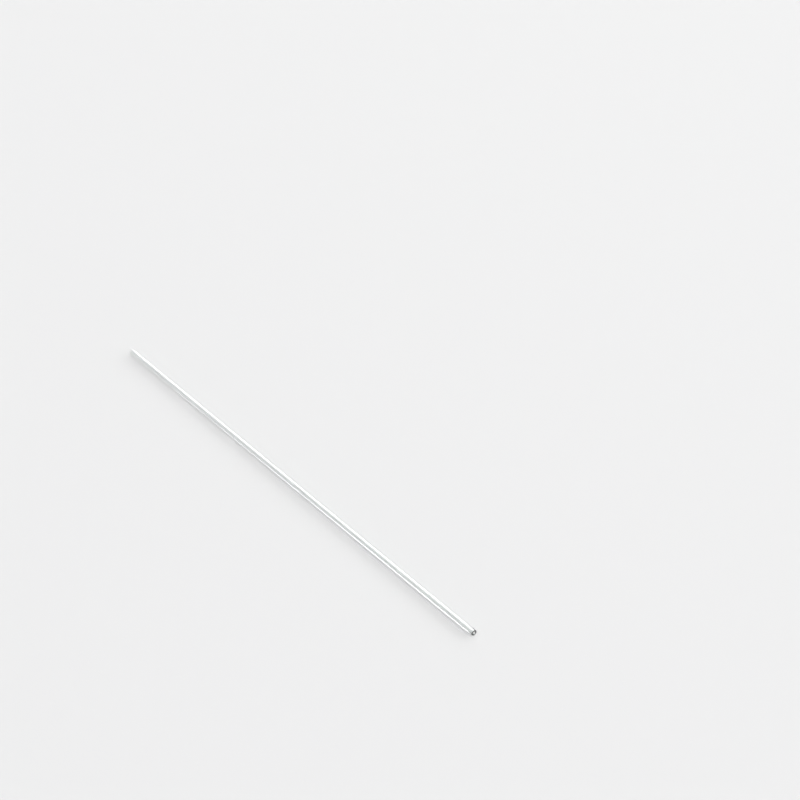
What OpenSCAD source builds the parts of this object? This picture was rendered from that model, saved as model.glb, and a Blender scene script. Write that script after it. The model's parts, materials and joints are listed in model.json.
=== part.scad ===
// Glass capillary tube: one straight length of drawn glass, round in section,
// with a bore right through and both ends cut square and softened in a flame.
// The tube lies along X. It touches the bench at z = 0, and its middle is over the origin.

/* [Tube] */
// Length over the two ends
tube_length = 100; // [20:1:200]
// Diameter of the bore
bore_d = 0.5; // [0.2:0.05:1.2]
// Thickness of the glass round the bore
wall = 0.25; // [0.15:0.01:0.4]

/* [Ends] */
// Radius that the flame leaves on the outer edge of each end
outer_lip_r = 0.07; // [0.03:0.01:0.09]
// Radius that the flame leaves on the edge of the bore
bore_lip_r = 0.04; // [0.02:0.01:0.05]

/* [Hidden] */
$fn = 96;
bore_r = bore_d / 2;
outer_r = bore_r + wall;

// A strip of the wall's section: from one radius to another, and as far along the axis
// as the two ends less a setback
module wall_strip(from_r, to_r, setback) {
    strip_length = tube_length - 2 * setback;
    translate([from_r, -strip_length / 2])
        square([to_r - from_r, strip_length]);
}

// The round of an end edge, at both ends of the section
module lip_rounds(centre_r, lip_r) {
    for (end = [-1, 1])
        translate([centre_r, end * (tube_length / 2 - lip_r)])
            circle(r = lip_r);
}

// The wall cut along the axis, with x as the radius and y along the tube
module wall_section() {
    wall_strip(bore_r, bore_r + bore_lip_r, bore_lip_r);
    wall_strip(bore_r + bore_lip_r, outer_r - outer_lip_r, 0);
    wall_strip(outer_r - outer_lip_r, outer_r, outer_lip_r);
    lip_rounds(bore_r + bore_lip_r, bore_lip_r);
    lip_rounds(outer_r - outer_lip_r, outer_lip_r);
}

module glass_tube() {
    color("#E4EEEA", 0.35)
        translate([0, 0, outer_r])
            rotate([0, 90, 0])
                rotate_extrude()
                    wall_section();
}

glass_tube();
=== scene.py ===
"""Looks of a glass capillary tube: a fine clear tube, lying on a pale bench under soft studio light."""
import json
import math

import bmesh
import bpy
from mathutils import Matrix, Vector


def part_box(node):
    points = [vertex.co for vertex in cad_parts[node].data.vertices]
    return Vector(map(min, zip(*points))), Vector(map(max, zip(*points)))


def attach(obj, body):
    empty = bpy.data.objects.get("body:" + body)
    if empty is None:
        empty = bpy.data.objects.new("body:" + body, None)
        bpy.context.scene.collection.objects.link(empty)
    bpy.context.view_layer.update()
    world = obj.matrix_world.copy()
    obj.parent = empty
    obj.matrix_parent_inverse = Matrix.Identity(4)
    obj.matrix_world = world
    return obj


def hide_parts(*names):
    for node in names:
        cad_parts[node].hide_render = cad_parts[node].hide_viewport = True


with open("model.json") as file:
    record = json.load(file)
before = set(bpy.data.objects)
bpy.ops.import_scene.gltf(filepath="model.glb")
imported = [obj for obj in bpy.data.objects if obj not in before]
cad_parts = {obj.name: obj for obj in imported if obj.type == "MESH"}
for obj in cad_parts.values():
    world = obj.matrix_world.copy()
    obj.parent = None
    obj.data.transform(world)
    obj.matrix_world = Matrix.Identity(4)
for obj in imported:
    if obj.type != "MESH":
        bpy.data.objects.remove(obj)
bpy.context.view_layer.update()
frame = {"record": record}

MM = 0.001

# ---------------------------------------------------------------- sizes, all read from the frame
TUBE_NODE = "glass_tube"
tube_low, tube_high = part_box(TUBE_NODE)
mounts = {mount["name"]: mount["dims"] for mount in frame["record"]["mounts"]}
tube_length = tube_high.x - tube_low.x
outer_r = (tube_high.z - tube_low.z) / 2
axis_z = (tube_high.z + tube_low.z) / 2
bore_r = mounts["bore"]["r_mm"] * MM
# Each mount ends where the rounded edge begins, so the rounds are what its length leaves of the tube
outer_lip_r = (tube_length - mounts["outer_wall"]["length_mm"] * MM) / 2
bore_lip_r = (tube_length - mounts["bore"]["length_mm"] * MM) / 2

# ---------------------------------------------------------------- how fine the meshes are
ROUND_STEPS = 128
LIP_SEGMENTS = 6
LENGTH_CUTS = 39
MERGE_DISTANCE = 0.0001 * MM
# A Weighted Normal modifier at 50 gives each face a say in proportion to its area, and at 100 the largest
# face decides alone
LARGEST_FACE_DECIDES = 100


# ---------------------------------------------------------------- small helpers
def linear(hex_colour):
    """An sRGB colour such as "#E4EEEA" as linear RGBA."""
    coded = [int(hex_colour[i:i + 2], 16) / 255 for i in (1, 3, 5)]
    light = [v / 12.92 if v <= 0.04045 else ((v + 0.055) / 1.055) ** 2.4 for v in coded]
    return (*light, 1.0)


def node(tree, kind, settings=None, links=None):
    """Add a node, with values for its properties and sockets, and with links into its sockets.

    A socket goes by its name, or by its number on a node whose sockets share one name.
    """
    made = tree.nodes.new(kind)
    for name, value in (settings or {}).items():
        if name in made.inputs:
            made.inputs[name].default_value = value
        else:
            setattr(made, name, value)
    for socket, source in (links or {}).items():
        tree.links.new(source, made.inputs[socket])
    return made


def bare_material(name):
    """A material with an empty node tree."""
    material = bpy.data.materials.new(name)
    material.use_nodes = True
    material.node_tree.nodes.clear()
    return material, material.node_tree


def select_points(piece, wanted):
    """In edit mode, select the points that pass a test of their place, and what lies between them."""
    bpy.ops.mesh.select_all(action="DESELECT")
    bpy.ops.mesh.select_mode(type="VERT")
    mesh = bmesh.from_edit_mesh(piece.data)
    for point in mesh.verts:
        point.select = wanted(point.co)
    mesh.select_flush(True)
    bmesh.update_edit_mesh(piece.data)


def new_primitive(add, name, **sizes):
    """Add a primitive, name it and put its place in its mesh. It is left as the only thing selected."""
    bpy.ops.object.select_all(action="DESELECT")
    add(**sizes)
    piece = bpy.context.object
    piece.name = name
    piece.data.name = name
    bpy.ops.object.transform_apply(location=True, rotation=True, scale=True)
    return piece


# ---------------------------------------------------------------- the tube
def drawn_tube():
    """The wall's section, laid out flat above the bore, its corners rounded, then spun round the bore."""
    wall = outer_r - bore_r
    middle_z = axis_z + bore_r + wall / 2
    tube = new_primitive(
        bpy.ops.mesh.primitive_plane_add, "drawn_glass_tube",
        size=1, location=(0, 0, middle_z), rotation=(math.pi / 2, 0, 0),
    )
    bpy.ops.object.mode_set(mode="EDIT")
    bpy.ops.mesh.select_all(action="SELECT")
    bpy.ops.transform.resize(value=(tube_length, 1, wall), center_override=(0, 0, middle_z))

    # the rounds that the flame leaves: wider outside, narrower at the bore
    select_points(tube, lambda place: place.z > middle_z)
    bpy.ops.mesh.bevel(offset=outer_lip_r, segments=LIP_SEGMENTS, affect="VERTICES")
    select_points(tube, lambda place: place.z < middle_z)
    bpy.ops.mesh.bevel(offset=bore_lip_r, segments=LIP_SEGMENTS, affect="VERTICES")

    # short stretches along the length keep the faces from being slivers
    bpy.ops.mesh.select_all(action="SELECT")
    bpy.ops.mesh.delete(type="ONLY_FACE")
    for side in (-1, 1):
        select_points(tube, lambda place: (place.z - middle_z) * side > wall / 2 - MERGE_DISTANCE)
        bpy.ops.mesh.subdivide(number_cuts=LENGTH_CUTS)

    bpy.ops.mesh.select_all(action="SELECT")
    bpy.ops.mesh.spin(
        steps=ROUND_STEPS, angle=2 * math.pi, use_auto_merge=True,
        center=(0, 0, axis_z), axis=(1, 0, 0),
    )
    bpy.ops.mesh.select_all(action="SELECT")
    bpy.ops.mesh.remove_doubles(threshold=MERGE_DISTANCE)
    bpy.ops.mesh.normals_make_consistent(inside=False)
    bpy.ops.object.mode_set(mode="OBJECT")

    # the long wall keeps its own straight normals where it runs into a lip
    bpy.ops.object.shade_smooth()
    weighted = tube.modifiers.new("straight_wall", "WEIGHTED_NORMAL")
    weighted.weight = LARGEST_FACE_DECIDES
    bpy.ops.object.modifier_apply(modifier=weighted.name)
    return tube


def drawn_soda_lime_glass():
    """Soda-lime glass, drawn from a hot gather and cut cold, its ends softened in a flame.

    It is clear and fully smooth, so all that is seen of it is what it bends and reflects. Drawing
    leaves faint lines along it, which make the highlights waver a little. The iron in the glass gives a
    green that shows only where light has come a long way through the wall, as at the ends.
    """
    material, tree = bare_material("drawn_soda_lime_glass")
    place = node(tree, "ShaderNodeTexCoord").outputs["Object"]

    # Draw lines: in the real glass about 0.05 mm apart, here at 0.3 mm so that they show, and each of
    # them runs on for some 30 mm
    line_pitch = 0.3 * MM
    line_run = 30 * MM
    line_depth = 0.0004 * MM
    along = node(
        tree, "ShaderNodeMapping",
        {"Scale": (1 / line_run, 1 / line_pitch, 1 / line_pitch)},
        {"Vector": place},
    )
    lines = node(
        tree, "ShaderNodeTexNoise",
        {"Scale": 1.0, "Detail": 3.0, "Roughness": 0.6},
        {"Vector": along.outputs["Vector"]},
    )
    relief = node(
        tree, "ShaderNodeBump",
        {"Strength": 1.0, "Distance": line_depth},
        {"Height": lines.outputs["Fac"]},
    )
    glass = node(
        tree, "ShaderNodeBsdfPrincipled",
        {
            "Base Color": linear("#FCFEFD"),
            "Roughness": 0.0,
            "IOR": 1.517,
            "Transmission Weight": 1.0,
        },
        {"Normal": relief.outputs["Normal"]},
    )
    iron = node(tree, "ShaderNodeVolumeAbsorption", {"Color": linear("#B4F0D8"), "Density": 7.0})
    node(
        tree, "ShaderNodeOutputMaterial", {},
        {"Surface": glass.outputs["BSDF"], "Volume": iron.outputs["Volume"]},
    )
    return material


# ---------------------------------------------------------------- the bench and its sweep
def bench_sweep():
    """A flat round bench whose rim curves up into a low wall, so that no view looks past it."""
    flat_r = 1.2
    rim_width = 0.9
    wall_height = 0.3
    rim_steps = 10
    rim_sides = 96
    smooth_below = math.radians(30)
    edge_margin = 0.001
    sweep = new_primitive(
        bpy.ops.mesh.primitive_circle_add, "bench_sweep",
        vertices=rim_sides, radius=flat_r, fill_type="NGON",
    )
    bpy.ops.object.mode_set(mode="EDIT")
    angles = [0.5 * math.pi * step / rim_steps for step in range(rim_steps + 1)]
    rings = [(flat_r + rim_width * math.sin(a), wall_height * (1 - math.cos(a))) for a in angles]
    for (r0, z0), (r1, z1) in zip(rings, rings[1:]):
        select_points(sweep, lambda place: place.xy.length > r0 - edge_margin)
        bpy.ops.mesh.extrude_edges_move(TRANSFORM_OT_translate={"value": (0, 0, z1 - z0)})
        bpy.ops.transform.resize(value=(r1 / r0, r1 / r0, 1), center_override=(0, 0, z1))
    bpy.ops.object.mode_set(mode="OBJECT")
    bpy.ops.object.shade_smooth_by_angle(angle=smooth_below)
    return sweep


def matt_card():
    """Matt card, uncoated: it scatters all light evenly, so the bench is pale and has no shine.

    To the eye and in the glass alike, the flat bench is bleached a little, which thins the shadow on it,
    and where it curves up at the rim it turns plain white.
    """
    flat_bleach = 0.3
    bleach_starts_z = 0.002
    all_white_z = 0.03
    material, tree = bare_material("matt_card")
    card = node(
        tree, "ShaderNodeBsdfPrincipled",
        {"Base Color": linear("#E4E4E4"), "Roughness": 1.0, "Specular IOR Level": 0.0},
    )
    white = node(tree, "ShaderNodeEmission", {"Color": linear("#FFFFFF"), "Strength": 1.0})

    place = node(tree, "ShaderNodeTexCoord").outputs["Object"]
    height = node(tree, "ShaderNodeSeparateXYZ", {}, {"Vector": place}).outputs["Z"]
    bleach = node(
        tree, "ShaderNodeMapRange",
        {
            "interpolation_type": "SMOOTHSTEP",
            "From Min": bleach_starts_z,
            "From Max": all_white_z,
            "To Min": flat_bleach,
        },
        {"Value": height},
    ).outputs["Result"]

    # 1 for what is seen of the card, straight or in the glass, and 0 for the light that it gives back
    ray = node(tree, "ShaderNodeLightPath").outputs
    seen = ray["Is Camera Ray"]
    for kind in ("Is Glossy Ray", "Is Transmission Ray"):
        seen = node(
            tree, "ShaderNodeMath", {"operation": "ADD", "use_clamp": True}, {0: seen, 1: ray[kind]},
        ).outputs["Value"]
    share = node(
        tree, "ShaderNodeMath", {"operation": "MULTIPLY"}, {0: seen, 1: bleach},
    ).outputs["Value"]
    both = node(
        tree, "ShaderNodeMixShader", {},
        {0: share, 1: card.outputs["BSDF"], 2: white.outputs["Emission"]},
    )
    node(tree, "ShaderNodeOutputMaterial", {}, {"Surface": both.outputs["Shader"]})
    return material


# ---------------------------------------------------------------- light and camera
LAMP_DISTANCE = 2.4
LAMP_LENGTH = 7.2


def heading(azimuth, elevation):
    """The direction from the tube towards something seen at that azimuth and elevation, in degrees."""
    a = math.radians(azimuth)
    e = math.radians(elevation)
    return Vector((math.sin(a) * math.cos(e), -math.cos(a) * math.cos(e), math.sin(e)))


def strip_softbox(name, rise, covers, glow):
    """A long flat lamp that runs beside the tube and faces it, and so draws straight lines in the glass.

    rise is where its middle stands, in degrees round the tube: 0 is level with it behind, 90 is overhead
    and 180 is level with it in front. covers is how many degrees its face takes up there. A glow of 1 is
    white.
    """
    depth = 2 * LAMP_DISTANCE * math.tan(math.radians(covers) / 2)
    lamp = bpy.data.lights.new(name, "AREA")
    lamp.shape = "RECTANGLE"
    lamp.size = LAMP_LENGTH
    lamp.size_y = depth
    # An area lamp's face glows at a quarter of its watts for each square metre
    lamp.energy = 4 * glow * LAMP_LENGTH * depth
    holder = bpy.data.objects.new(name, lamp)
    bpy.context.scene.collection.objects.link(holder)
    angle = math.radians(rise)
    holder.location = (0, LAMP_DISTANCE * math.cos(angle), LAMP_DISTANCE * math.sin(angle))
    holder.rotation_euler.x = angle - math.pi / 2
    holder.visible_camera = False


def dim_room(strength):
    """The room round the lamps: plain, even and much dimmer than they are."""
    world = bpy.data.worlds.new("dim_room")
    bpy.context.scene.world = world
    world.use_nodes = True
    tree = world.node_tree
    tree.nodes.clear()
    room = node(tree, "ShaderNodeBackground", {"Color": linear("#F4F7FA"), "Strength": strength})
    node(tree, "ShaderNodeOutputWorld", {}, {"Surface": room.outputs["Background"]})


def camera():
    """A long lens, looking down along the tube from beside its near end."""
    focal_length_mm = 110
    sensor_width_mm = 36
    aim = Vector((-8.14, 30.1, 0)) * MM
    distance = 440 * MM
    back = heading(azimuth=52.3, elevation=35.4)
    lens = bpy.data.cameras.new("camera")
    lens.lens = focal_length_mm
    lens.sensor_width = sensor_width_mm
    lens.clip_start = 0.01
    lens.clip_end = 10
    holder = bpy.data.objects.new("camera", lens)
    bpy.context.scene.collection.objects.link(holder)
    holder.location = aim + back * distance
    holder.rotation_euler = back.to_track_quat("Z", "Y").to_euler()
    bpy.context.scene.camera = holder


# ---------------------------------------------------------------- put it together
tube = drawn_tube()
tube.data.materials.append(drawn_soda_lime_glass())
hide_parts(TUBE_NODE)
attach(tube, "root")

sweep = bench_sweep()
sweep.data.materials.append(matt_card())

dim_room(strength=0.12)
strip_softbox("back_softbox", rise=62, covers=56, glow=0.97)
strip_softbox("low_back_softbox", rise=20, covers=22, glow=3.3)
strip_softbox("front_softbox", rise=127, covers=16, glow=1.65)
camera()
scene = bpy.context.scene
scene.view_settings.view_transform = "Standard"

# The picture is cleaned of noise by its colours alone, which keeps the fine lines in the glass straight
scene.cycles.denoising_input_passes = "RGB"
# Light is turned back inside the wall of the tube many times before it comes out of an end
TURNS_IN_THE_WALL = 48
scene.cycles.max_bounces = TURNS_IN_THE_WALL
scene.cycles.glossy_bounces = TURNS_IN_THE_WALL
scene.cycles.transmission_bounces = TURNS_IN_THE_WALL
